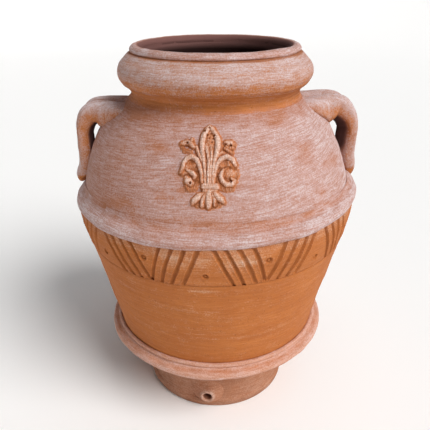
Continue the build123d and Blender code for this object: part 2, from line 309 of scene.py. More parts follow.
def fired_clay(name, clay, clay_dark, worn, lime, lime_thin, lines=1.0, wash_lines=1.0):
    """Terracotta: thrown lines and grain in the clay, and a brushed lime wash that thins in streaks."""
    g = Graph(name)
    tone = g.add("ShaderNodeAttribute", attribute_name="tone")
    split = g.add("ShaderNodeSeparateColor")
    g.join(tone.outputs["Color"], split.inputs[0])
    wash, red, dark = split.outputs[0], split.outputs[1], split.outputs[2]
    inside = tone.outputs["Alpha"]
    flow = g.add("ShaderNodeAttribute", attribute_name="flow").outputs["Vector"]
    place = g.add("ShaderNodeTexCoord").outputs["Object"]

    thrown = g.noise(flow, 1, 4, 0.6, (7, 7, 300))
    brush = g.noise(flow, 1, 3, 0.6, (15, 15, 330), 0.2)
    hair = g.noise(flow, 1, 2, 0.65, (38, 38, 780))
    cloud = g.noise(place, 13, 4, 0.6)
    mottle = g.noise(place, 75, 5, 0.68)
    grains = g.noise(place, 420, 3, 0.75)
    specks = g.noise(place, 330, 1, 0.5)

    # clay
    tint = g.maths("MULTIPLY_ADD", cloud, 0.7, -0.3 - 0.45 * (lines - 1))
    tint = g.maths("MULTIPLY_ADD", thrown, 0.9 * lines, tint)
    colour = g.mix(g.step(tint, 0.15, 0.85), clay_dark, clay)
    colour = g.mix(g.maths("MULTIPLY", red, g.step(mottle, 0.3, 0.65, 0.35, 1.0)), colour, worn)
    colour = g.mix(g.step(specks, 0.66, 0.74, 0.0, 0.5), colour, tuple(0.45 * c for c in clay_dark))

    # lime wash
    streak = g.maths("MULTIPLY_ADD", g.maths("SUBTRACT", brush, 0.5), 0.6 * wash_lines,
                     g.maths("MULTIPLY", g.maths("SUBTRACT", hair, 0.5), 1.45 * wash_lines))
    cloudy = g.maths("MULTIPLY_ADD", g.maths("SUBTRACT", mottle, 0.5), 1.0,
                     g.maths("MULTIPLY", g.maths("SUBTRACT", grains, 0.5), 2.3))
    level = g.maths("ADD", wash, g.maths("ADD", streak, cloudy))
    thin = g.step(level, -0.22, 0.84, 0.0, 0.93)
    thick = g.step(level, 0.66, 1.50, 0.0, 0.85)
    colour = g.mix(thin, colour, lime_thin)
    colour = g.mix(thick, colour, lime)
    soot = g.maths("MULTIPLY_ADD", hair, 0.6, g.maths("MULTIPLY", grains, 0.4))
    colour = g.mix(g.step(soot, 0.40, 0.56, 0.30, 0.0), colour, tuple(0.7 * c for c in clay_dark))

    # soil and painted shade in the hollows, pores, and the inside, painted as dark mauve shade that turns to
    # near-black shadow
    colour = g.mix(g.maths("MULTIPLY", dark, 0.85), colour, tuple(0.42 * c for c in clay_dark))
    hollow = g.mix(dark, (0.175, 0.078, 0.07), (0.022, 0.006, 0.005))
    colour = g.mix(g.maths("MULTIPLY", inside, 0.97), colour, hollow)

    shader = g.add("ShaderNodeBsdfPrincipled")
    g.join(colour, shader.inputs["Base Color"])
    g.join(g.step(grains, 0.3, 0.7, 0.78, 0.95), shader.inputs["Roughness"])
    shader.inputs["Specular IOR Level"].default_value = 0.28
    height = g.maths("MULTIPLY_ADD", thrown, 0.55 * lines,
                     g.maths("MULTIPLY_ADD", brush, 0.55 * wash_lines,
                             g.maths("MULTIPLY_ADD", hair, 0.3, g.maths("MULTIPLY", grains, 0.35))))
    height = g.maths("MULTIPLY_ADD", g.step(specks, 0.62, 0.74), -0.5, height)
    relief = g.add("ShaderNodeBump")
    relief.inputs["Strength"].default_value = 0.55
    relief.inputs["Distance"].default_value = 0.0011
    g.join(height, relief.inputs["Height"])
    g.join(relief.outputs["Normal"], shader.inputs["Normal"])
    output = g.add("ShaderNodeOutputMaterial")
    g.join(shader.outputs[0], output.inputs[0])
    return g.material


LIME, LIME_THIN = (0.635, 0.55, 0.56), (0.505, 0.325, 0.295)
WORN = (0.45, 0.195, 0.115)
BARE = fired_clay("bare_clay", (0.54, 0.178, 0.041), (0.43, 0.122, 0.023), WORN, (0.68, 0.52, 0.46),
                  (0.60, 0.33, 0.20), lines=1.0, wash_lines=0.6)
WASHED = fired_clay("limewashed_clay", (0.47, 0.19, 0.10), (0.37, 0.13, 0.06), WORN, LIME, LIME_THIN,
                    lines=1.0, wash_lines=1.0)
NECKED = fired_clay("neck_clay", (0.58, 0.21, 0.062), (0.38, 0.11, 0.022), WORN, (0.625, 0.56, 0.595),
                    (0.52, 0.365, 0.335), lines=1.5, wash_lines=0.55)
DUSTY = fired_clay("collar_clay", (0.58, 0.24, 0.12), (0.46, 0.17, 0.075), WORN, (0.69, 0.52, 0.50),
                   (0.60, 0.355, 0.28), lines=0.8, wash_lines=0.5)
# The foot's clay is dimmer and browner: partly its own tone, partly painted shade under the collar.
BROWN = fired_clay("foot_clay", (0.46, 0.20, 0.105), (0.32, 0.12, 0.06), (0.50, 0.18, 0.08),
                   (0.62, 0.44, 0.37), (0.50, 0.27, 0.18), lines=0.8, wash_lines=0.6)
MOULDED = fired_clay("lily_clay", (0.60, 0.22, 0.085), (0.44, 0.13, 0.04), (0.58, 0.19, 0.06),
                     (0.76, 0.60, 0.53), (0.64, 0.40, 0.30), lines=0.0, wash_lines=0.35)


# --- tones: (lime wash, worn red, dark, inside) over each piece ----------------------------
def spots(az, z, table):
    """Sum of soft spots given as (azimuth, height, half width deg, half height mm, strength)."""
    total = 0 * az
    for a, h, wide, tall, strength in table:
        total = total + strength * np.exp(-(turn(az - a) / wide) ** 2 - ((z - h) / tall) ** 2)
    return total


WORN_SPOTS = [(-26, 566, 7, 10, 0.9), (-33, 585, 6, 8, 0.5), (-52, 596, 9, 8, 0.7), (-45, 545, 6, 14, 0.4),
              (41, 548, 5, 16, 0.75), (46, 556, 6, 9, 0.6), (60, 522, 8, 10, 0.9), (45, 484, 3.5, 12, 0.8),
              (37, 595, 8, 8, 0.7), (-20, 508, 3, 10, 0.4), (-36, 484, 5, 9, 0.8), (-44, 478, 7, 9, 0.6),
              (8, 545, 5, 10, 0.35), (20, 568, 4, 6, 0.45), (-3, 498, 6, 6, 1.3), (4, 521, 4.5, 7, 1.1),
              (-10.5, 516, 4, 6, 1.0), (-14, 534, 2, 6, 1.0), (-9, 557, 2, 6, 0.4),
              (-10, 470, 16, 6, 0.5), (25, 463, 22, 4, 0.5),
              (105, 560, 14, 12, 0.7), (150, 520, 16, 15, 0.7), (-120, 540, 14, 14, 0.7),
              (-160, 580, 15, 9, 0.6), (178, 490, 12, 9, 0.7)]


def shoulder_tone(az, z, up, r):
    low = 1 - smooth(z, 458, 484)
    worn = spots(az, z, WORN_SPOTS) + 0.65 * low * bump(z, 466, 12) * (0.7 + 0.6 * blots(az, z))
    worn = worn + 0.13 * patches(az, z) + 0.13 * blots(az, z)
    wash = 0.61 - 0.60 * worn + 0.10 * smooth(z, 500, 560) + 0.10 * patches(az, z)
    wash = wash + 0.24 * np.sin(np.radians(az))
    wash = wash - 0.55 * smooth(z + 5 * blots(az, z), 584, 606)
    # The top by the neck is painted darker as shade in the crease.
    return wash, 0.9 * worn + smooth(z, 590, 605), 0.10 * smooth(z, 588, 606), 0 * az


def belt_tone(az, z, up, r):
    top = smooth(z + 2.5 * blots(az, z), 448, 461)
    wash = 0.76 - 0.55 * top + 0.26 * smooth(np.abs(az), 16, 50)
    wash = wash + 0.26 * blots(az, z) + 0.16 * runs(az, z) + 0.10 * patches(az, z)
    return wash, top * (0.5 + 0.4 * blots(az, z)), 0 * az, 0 * az


def cone_tone(az, z, up, r):
    smears = spots(az, z, [(-5, 350, 7, 3, 0.75), (-14, 303, 16, 6, 0.42), (4, 236, 24, 3, 0.3),
                           (-40, 318, 8, 4, 0.25), (28, 236, 7, 8, 0.25), (130, 320, 30, 6, 0.4),
                           (-150, 260, 30, 6, 0.4)])
    wash = -0.30 + smears + 0.16 * runs(az, z) + 0.10 * patches(az, z)
    # A dark line is painted as shade in the groove along the band's lower edge.
    return wash, 0.12 + 0 * az, 0.3 * bump(z, BAND_BOTTOM + 0.5, 1.4), 0 * az


def neck_tone(az, z, up, r):
    low = 1 - smooth(z + 2 * blots(az, z), 606, 617)
    wash = -0.30 + 0.22 * runs(az, z) + 0.22 * low
    # The crease near 619 mm and the joint under the roll near 634 mm are painted darker as shade.
    return wash, 0.2 + 0.15 * runs(az, z) + low, 0.18 * bump(z, 619, 6) + 0.25 * bump(z, 634, 2.5), 0 * az


def roll_tone(az, z, up, r):
    groove = smooth(z, 685.5, 688)
    wash = -0.04 + 0.74 * smooth(z, 637, 668) + 0.16 * runs(az, z) + 0.10 * blots(az, z) - 0.8 * groove
    # The groove against the lip bead is worn red, bare of lime and painted dark as shade.
    return wash, 0.1 + groove, 0.4 * groove, 0 * az


def lip_tone(az, z, up, r):
    groove = 1 - smooth(z, 689, 691.5)
    inner = 1 - smooth(r, 132, 137)
    # The groove against the roll is worn red, bare of lime and painted dark as shade; the inner side takes
    # the inside's colour, painted as shade.
    return 0.74 + 0.16 * blots(az, z) - 0.9 * groove - inner, groove, 0.35 * groove, inner


def collar_tone(az, z, up, r):
    wash = 0.50 + 0.14 * smooth(up, 0.0, 0.8) + 0.14 * blots(az, z) + 0.12 * runs(az, z)
    # More lime on the rounded outer edge, painted lighter as a highlight.
    wash = wash - 0.32 * bump(r, 214, 3.5) * smooth(z, 154, 156) + 0.2 * bump(z, 148, 4)
    # The joint against the cone is worn red, bare of lime and painted dark as shade in the crease.
    joint = 1 - smooth(r, 202.6, 205.2)
    return wash - 0.5 * joint, 0.15 * patches(az, z) + joint, 0.45 * joint, 0 * az


def foot_tone(az, z, up, r):
    wash = 0.20 + 0.30 * patches(az, z) + 0.18 * blots(az, z) + 0.22 * bump(turn(az - 25), 0, 16)
    # The foot is painted a little darker all over as shade under the collar, and darker still towards the
    # floor.
    return wash, 0.3 * patches(az, z + 60), 0.12 + 0.2 * (1 - smooth(z, 4, 22)), 0 * az


# --- the turned pieces --------------------------------------------------------------------
foot_base_out = resample([(60, 0), (142.5, 0), (145.8, 2.5), (148.6, 13), (147.2, 19), (144.6, 22.5)], 1.6)
ring("foot_base", ["foot_slab"], BROWN, foot_base_out,
     [(141, 23), (118, 20.5), (60, 20), (0.5, 20), (0.5, 0)], 480, foot_tone, rough=0.7,
     relief=lambda az, z: (1.0 * edge_wobble(az, z) + 1.1 * dents(az, z)) * smooth(z, 0.5, 9), strips=2)

foot_rows = np.linspace(20, 128, 46)
foot_out = np.stack([FOOT_R + 2.2 * ((foot_rows - 64) / 62) ** 2, foot_rows], 1)
foot = ring("foot_ring", ["foot_wall"], BROWN, foot_out,
            [(FOOT_R - FOOT_WALL, z) for z in foot_rows[::-1]], 640, foot_tone, strips=2)

ring("jar_bottom", ["body_base"], BARE,
     resample(catmull([(145, 125.5), (181, 139), (203, 170)], 4), 4),
     [(178.5, 170), (155, 150), (FOOT_R - FOOT_WALL, 126)], 240, cone_tone, strips=2)

collar_out = resample(np.vstack([
    catmull([(198, 168), (206, 162.5), (210, 159.2), (215.2, 157.2)], 1.5),
    catmull([(215.2, 157.2), (220.2, 154.6), (222, 149.8), (220.6, 145), (215.5, 141.4)], 1.2),
    catmull([(215.5, 141.4), (190, 134), (165, 131), (144, 127)], 3)]), 1.6)
ring("collar", ["lower_collar"], DUSTY, collar_out,
     [(146, 134), (175, 142), (194, 160)], 700, collar_tone, strips=4,
     relief=lambda az, z: 0.4 * edge_wobble(az, z) + 0.4 * dents(az, z))

step_angles = np.radians(np.arange(-75, 165, 15))
step_out = np.stack([205.2 + 4.4 * np.cos(step_angles), 165.2 + 4.4 * np.sin(step_angles)], 1)
ring("collar_step", ["collar_bead"], DUSTY, step_out,
     [(201.5, 166), (201, 162)], 600, collar_tone, rough=0.6, strips=5)

wall_line = catmull(CONE, 1.0)


def wall_at(z):
    """Outside radius of the lower wall at height z."""
    return np.interp(z, wall_line[:, 1], wall_line[:, 0])


cone_z = np.linspace(161, BAND_BOTTOM + 1, 118)
ring("lower_cone", ["lower_wall"], BARE, np.stack([wall_at(cone_z), cone_z], 1),
     [(wall_at(z) - WALL, z) for z in (361, 300, 230, 162)], 760, cone_tone, strips=3,
     relief=lambda az, z: -0.7 * bump(z, BAND_BOTTOM + 0.5, 1.3))

# The incised band. A stroke is (azimuth at its foot, azimuth at its top, height of its foot,
# half width, depth, bend), and a dimple is (azimuth, height, radius).
FIRST_APEX, FRONT_STEP = -67.8, 43.0
APEXES = [FIRST_APEX + FRONT_STEP * k for k in range(4)]
APEXES += [APEXES[-1] + (360 - 3 * FRONT_STEP) / 5 * k for k in range(1, 6)]
hand = np.random.default_rng(SEED + 50)
STROKES = []
for left, right in zip(APEXES, APEXES[1:]):
    wide = right - left
    for side in (0, 1):
        for k in range(4):
            low = 0.005 + 0.094 * k + hand.uniform(-0.008, 0.008)
            high = 0.145 + 0.098 * k + hand.uniform(-0.012, 0.012)
            ends = (left + wide * low, left + wide * high)
            if side:
                ends = (right - wide * low * 0.97, right - wide * (high + 0.02))
            STROKES.append((*ends, BAND_BOTTOM + 2 + hand.uniform(-2.5, 3.0), hand.uniform(2.9, 3.8),
                            hand.uniform(2.6, 3.5), hand.uniform(-0.4, 0.4)))
DIMPLES = []
for left, right in zip(APEXES, APEXES[1:]):
    DIMPLES += [(left + hand.uniform(-2, 0), hand.uniform(400, 410), 5.6),
                ((left + right) / 2 + hand.uniform(-1, 1), hand.uniform(382, 388), 5.2)]


def stroke_relief(az, z):
    """(height, hollow): strokes with pushed-up edges and thumb dimples, on the incised band."""
    height, hollow = 0 * az, 0 * az
    mm_per_degree = math.radians(1) * BAND_R
    for a0, a1, z0, half, depth, bend in STROKES:
        near = np.abs(turn(az[0] - (a0 + a1) / 2)) < 9
        a, h = az[:, near], z[:, near]
        t = np.clip((h - z0) / (BAND_TOP + 6 - z0), 0, 1)
        centre = a0 + (a1 - a0) * t + bend * np.sin(math.pi * t)
        slope = (a1 - a0) * mm_per_degree / (BAND_TOP + 6 - z0)
        across = turn(a - centre) * mm_per_degree / math.hypot(1, slope)
        below = np.clip(z0 - h, 0, None)
        d = np.hypot(across, below) / (half * (1 + 0.12 * dents(a, h)))
        cut = np.clip(1 - d**2, 0, 1) ** 0.6 * smooth(h, z0 - 3.5, z0 + 2.5)
        burr = 0.75 * bump(d, 1.28, 0.24) * smooth(h, z0 - 5, z0 + 2)
        height[:, near] += burr * (1 + 0.6 * blots(a, h)) - depth * cut
        hollow[:, near] = np.maximum(hollow[:, near], cut)
    for a0, z0, radius in DIMPLES:
        near = np.abs(turn(az[0] - a0)) < 5
        a, h = az[:, near], z[:, near]
        d = np.hypot(turn(a - a0) * mm_per_degree, h - z0) / radius
        cut = np.clip(1 - d**2, 0, 1)
        height[:, near] += 0.9 * bump(d, 1.15, 0.22) - 2.4 * bump(d, 0.62, 0.27) - 0.5 * cut
        hollow[:, near] = np.maximum(hollow[:, near], bump(d, 0.6, 0.3))
    return height, hollow


def band_tone(az, z, up, r):
    height, hollow = stroke_relief(az, z)
    lime = spots(az, z, [(-13, 412, 9, 17, 0.75), (7, 412, 9, 16, 0.85), (-30, 425, 10, 6, 0.45),
                         (30, 424, 12, 8, 0.4), (52, 425, 12, 9, 0.45), (-52, 424, 12, 6, 0.35),
                         (110, 412, 20, 14, 0.6),
                         (-130, 412, 24, 15, 0.6), (170, 415, 16, 12, 0.6)])
    wash = -0.26 + lime * (0.95 + 0.5 * blots(az, z)) + 0.12 * runs(az, z) + 0.45 * smooth(z, 424, 436)
    wash = wash + 0.25 * smooth(height, 0.1, 0.6) * lime - 0.55 * hollow
    # The hollows of the strokes and dimples, and the groove along the band's lower edge, are painted dark as
    # shade.
    dark = 0.52 * hollow + 0.3 * bump(z, BAND_BOTTOM + 0.5, 1.4)
    return wash, 0.15 + 0.3 * smooth(z, 415, 430), dark, 0 * az


band_z = np.linspace(BAND_BOTTOM, 442, 76)
ring("incised_band", ["lower_wall"], BARE, np.stack([wall_at(band_z), band_z], 1),
     [(wall_at(442) - WALL, 442), (wall_at(360) - WALL, 360)], 1180, band_tone, strips=4,
     relief=lambda az, z: stroke_relief(az, z)[0] - 1.2 * bump(z, BAND_BOTTOM + 0.5, 1.5))

belt_out = resample(catmull([(252, 434.6), (257.5, 433.6), (261.6, 434.8), (262.8, 438.5), (261.8, 444),
                             (258.4, 449), (253.2, 453), (248.8, 456.8), (246.2, 461.5),
                             (244.6, 467.5)], 1.0), 1.25)
ring("belt_coil", ["belt"], WASHED, belt_out, [(242, 466), (242, 440)], 1000,
     belt_tone, strips=5,
     relief=lambda az, z: (1.1 * edge_wobble(az, z + 9) + 0.8 * dents(az, z)) * smooth(z, 430, 436))


def root_swell(az, z):
    """Clay smeared onto the shoulder under each strap."""
    total = 0 * az
    for azimuth, middle, height in ((LEFT_AZ, 552, 4.5), (RIGHT_AZ, 560, 7.5)):
        total = total + height * bump(turn(az - azimuth), 0, 14) * bump(z, middle, 24)
    return total


shoulder_out = catmull(SHOULDER, 1.75)
ring("shoulder", ["shoulder"], WASHED, shoulder_out,
     [(133, 608), (150, 585), (180, 550), (206, 510), (224, 472), (232, 448)], 900, shoulder_tone, strips=3,
     relief=root_swell)

neck_out = catmull([(156.5, 606.5), (151.5, 612), (149, 618), (151, 625), (159, 633.5), (163, 636)], 1.3)
ring("neck_cove", ["neck"], NECKED, neck_out,
     [(MOUTH_R + 1, 636), (MOUTH_R + 4, 606)], 700, neck_tone, strips=4)

roll_out = catmull([(157, 633), (161, 634.6), (166.5, 641), (170, 649), (170.6, 656.5), (168.6, 664.5),
                    (163.6, 673), (156.5, 681), (150.8, 686.6), (147.4, 688), (145, 690)], 1.3)
ring("rim", ["rim_roll"], NECKED, roll_out,
     [(MOUTH_R, 690), (MOUTH_R, 684), (MOUTH_R, 674), (MOUTH_R + 2, 671), (MOUTH_R + 4, 660),
      (MOUTH_R + 1, 633)], 760, roll_tone, strips=3)

lip_out = catmull([(MOUTH_R, 687), (MOUTH_R + 0.4, 693.5), (132.5, 698.3), (138.5, 699.8),
                   (143.4, 698.4), (146.7, 695.5), (147.9, 692.4), (147.2, 690), (145.2, 688.6),
                   (143, 688)], 1.1)
ring("lip_bead", ["lip"], WASHED, lip_out, [(142, 687), (133, 687)], 640, lip_tone,
     rough=0.8, strips=5)


def pierce(obj, azimuth, z, radius):
    """Opens a hole straight through a ring's wall and joins its two rims."""
    a = math.radians(azimuth)
    axis = Vector((math.sin(a), -math.cos(a), 0))
    bm = bmesh.new()
    bm.from_mesh(obj.data)
    gone = []
    for face in bm.faces:
        c = face.calc_center_median() / MM
        off = c - Vector((0, 0, z))
        along = off.dot(axis)
        if along > 0 and (off - axis * along).length < radius:
            gone.append(face)
    bmesh.ops.delete(bm, geom=gone, context="FACES")
    rims = [e for e in bm.edges if e.is_boundary]
    bmesh.ops.bridge_loops(bm, edges=rims)
    bmesh.ops.recalc_face_normals(bm, faces=bm.faces)
    bm.to_mesh(obj.data)
    bm.free()


pierce(foot, SPOUT_AZ, SPOUT_Z, SPOUT_CUT_R)


# --- the drain spout ------------------------------------------------------------------------
def spout():
    line = catmull([(37, 141.5), (31, 144.6), (24, 148.2), (18.6, 152), (15.4, 156), (13.4, 158.8),
                    (11.2, 159.6), (9.3, 158.2), (SPOUT_HOLE_R, 155)], 0.8)
    line = np.vstack([line, [(SPOUT_HOLE_R, 140), (SPOUT_HOLE_R, 123.5), (13, 124), (15, 135)]])
    columns = 96
    turn_at = np.linspace(0, 2 * math.pi, columns, endpoint=False)
    shape = np.random.default_rng(SEED + 70)
    wob = sum(shape.uniform(-0.35, 0.35) * np.cos(k * turn_at + shape.uniform(0, 6)) for k in (2, 3, 5))
    r = line[:, :1] + wob * smooth(line[:, :1], 8.3, 12) + 0 * turn_at
    out = line[:, 1:] + 0 * turn_at
    a = math.radians(SPOUT_AZ)
    ahead = np.array([math.sin(a), -math.cos(a), 0])
    side, rise = np.array([math.cos(a), math.sin(a), 0]), np.array([0, 0, 1.0])
    # the wide base is smeared onto the round wall of the foot
    reach = r * np.cos(turn_at)
    out = out - (FOOT_R - np.sqrt(np.clip(FOOT_R**2 - reach**2, 0, None))) * smooth(r, 9, 20)
    verts = (out[..., None] * ahead + reach[..., None] * side + (r * np.sin(turn_at))[..., None] * rise
             + np.array([0, 0, SPOUT_Z])).reshape(-1, 3)
    rows = len(line)
    edges = np.linspace(0, 1, rows + 1)
    # the last rows of the outline line the hole
    hole = (np.arange(rows) >= rows - 6)[:, None] + 0 * turn_at
    tip = smooth(line[:, 1:], 153, 158) + 0 * turn_at
    # The hole's lining is painted dark as shade.
    tone = np.stack([0.22 + 0.75 * tip - 1.0 * hole, 0.2 + 0 * hole, 0.25 * hole, 0.35 * hole], -1)
    tone = tone.reshape(-1, 4)
    make_object("spout", verts, grid_faces(rows, columns).tolist(), folded_uvs(edges, rows, columns, 1),
                tone, verts * MM, BROWN, ["drain_spout"], sharp=60)


spout()


# --- handles ----------------------------------------------------------------------------
def strap(name, azimuth, outside, thickness, width, lean, belly):
    """A pulled strap: two rolled edges with a valley between, flared roots and a thumbed-down end."""
    line = catmull(outside, 1.9)
    n, around = len(line), 64
    s = np.linspace(0, 1, n)
    tangent = np.gradient(line, axis=0)
    tangent /= np.linalg.norm(tangent, axis=1)[:, None]
    out_n = np.stack([-tangent[:, 1], tangent[:, 0]], 1)
    thick = np.interp(s, [k for k, v in thickness], [v for k, v in thickness])
    wide = np.interp(s, [k for k, v in width], [v for k, v in width]) / 2
    length = np.linalg.norm(np.diff(line, axis=0), axis=1).sum()
    left_over = length * (1 - s)
    tip = np.sqrt(np.clip(1 - (1 - np.clip(left_over / 9, 0, 1)) ** 2, 0, 1))
    q = np.linspace(0, 2 * math.pi, around, endpoint=False)
    cx, cy = np.cos(q), np.sin(q)
    x = np.sign(cx) * np.abs(cx) ** 0.6                        # across the strap
    y = np.sign(cy) * np.abs(cy) ** np.where(cy > 0, 0.5, 0.55)   # +1 outside, -1 against the jar
    shape = np.random.default_rng(SEED + 80 + int(azimuth))
    wave = sum(shape.uniform(0.2, 0.55) * np.sin(2 * math.pi * (k * s + shape.uniform(0, 1)))
               for k in (2, 4, 7, 11))
    across = x[None, :] * (wide + 0.6 * wave)[:, None] * (0.35 + 0.65 * tip)[:, None]
    depth = (1 - y[None, :]) / 2 * thick[:, None]
    upper = np.clip(y, 0, 1)[None, :] ** 0.7
    rel = np.abs(across) / wide[:, None]
    valley = bump(across + 1.5 * wave[:, None], 0, 10.5) * smooth(s, 0.0, 0.1)[:, None]
    valley = valley * (1 - smooth(s, 0.80, 0.95))[:, None]
    depth = depth + upper * (13.0 * valley - 2.5 * bump(rel, 0.58, 0.25))
    # the inner face bulges into the gap
    lower = np.clip(-y, 0, 1)[None, :] ** 0.7
    depth = depth + lower * belly * bump(rel, 0, 0.55) * smooth(s, 0.1, 0.3)[:, None]
    middle = thick[:, None] / 2
    depth = middle + (depth - middle) * (0.25 + 0.75 * tip)[:, None]
    r = line[:, :1] - out_n[:, :1] * depth
    z = line[:, 1:] - out_n[:, 1:] * depth
    a = math.radians(azimuth)
    ahead, side = np.array([math.sin(a), -math.cos(a), 0]), np.array([math.cos(a), math.sin(a), 0])
    across = across + lean * (s[:, None] - 0.3)
    az = azimuth + np.degrees(across / np.clip(r, 60, None))
    rough = 0.8 * dents(az * 2.3, z * 1.7) + 0.35 * grit(az * 2, z)
    r = r + rough * out_n[:, :1] * 0.6
    verts = r[..., None] * ahead + across[..., None] * side + z[..., None] * np.array([0, 0, 1.0])
    verts = verts.reshape(-1, 3)
    up = out_n[:, 1:] * y[None, :]
    ridge = bump(rel, 0.62, 0.3) * upper
    wash = 0.30 + 0.66 * smooth(up, -0.1, 0.85) + 0.25 * ridge * smooth(up, -0.2, 0.5)
    wash = wash + 0.12 * dents(az * 2.3, z * 1.7)
    wash = wash + 0.25 * upper * smooth(s, 0.5, 0.8)[:, None] - 0.35 * valley * upper
    # the clay is rubbed bare around the gap
    eye = smooth(-y, -0.6, 0.4)[None, :] * smooth(s, 0.16, 0.3)[:, None]
    # The strap's inner face under the arch is painted dark as shade.
    under = smooth(-y, 0.75, 0.97)[None, :] * (smooth(s, 0.30, 0.42) * (1 - smooth(s, 0.72, 0.80)))[:, None]
    end = smooth(s, 0.90, 0.95)[:, None]
    wash = wash - 0.34 * eye * (1 - smooth(s, 0.58, 0.7))[:, None] - 0.8 * end
    # The valley and the inner face are painted dark as shade.
    dark = 0.75 * valley**1.5 * upper + 0.75 * under + 0.15 * end
    tone = np.stack([wash, 0.15 + 0.2 * eye, dark, under], -1).reshape(-1, 4)
    along = (s * length)[:, None] + 0 * across
    lines = np.stack([0.3 * along, 0.15 * depth, 0.4 * across], -1).reshape(-1, 3) * MM
    faces = grid_faces(n, around)[: (n - 1) * around].tolist()
    uv = folded_uvs(np.linspace(0, 1, n + 1), n, around, 1)[: (n - 1) * around].reshape(-1, 2)
    caps = [list(range(around)), [(n - 1) * around + k for k in range(around)][::-1]]
    faces += caps
    ring_uv = np.stack([0.5 + 0.45 * cx, 0.5 + 0.45 * cy], -1)
    uv = np.vstack([uv * [1, 0.9], ring_uv * 0.08 + [0.02, 0.91], (ring_uv * 0.08 + [0.2, 0.91])[::-1]])
    return make_object(name, verts, faces, uv, tone, lines, NECKED, [name],
                       sharp=60)


strap("handle_left", LEFT_AZ,
      [(152, 599), (176, 602), (203, 604), (226, 600), (242, 586), (250, 566), (252.5, 545), (253.5, 515),
       (255, 492), (260, 475), (261.5, 465), (258.5, 455), (251, 449)],
      [(0, 12), (0.11, 34), (0.19, 50), (0.31, 43), (0.41, 36), (0.50, 27), (0.58, 22), (0.69, 24),
       (0.79, 26), (0.90, 24), (1, 16)],
      [(0, 112), (0.06, 106), (0.13, 88), (0.21, 68), (0.37, 56), (0.58, 50), (0.84, 46), (1, 38)], 1.5, 5)
strap("handle_right", RIGHT_AZ,
      [(152, 602), (178, 605), (207, 608), (232, 604), (247.5, 591), (259.5, 570), (264.5, 547), (265, 518),
       (265.5, 496), (269, 476), (269.5, 464), (265, 453), (256, 446)],
      [(0, 13), (0.11, 36), (0.19, 52), (0.31, 42), (0.41, 33), (0.50, 25), (0.58, 20), (0.69, 22),
       (0.79, 25), (0.90, 23), (1, 16)],
      [(0, 116), (0.06, 108), (0.13, 94), (0.21, 76), (0.37, 63), (0.58, 57), (0.84, 48), (1, 38)], -1.5, 13)


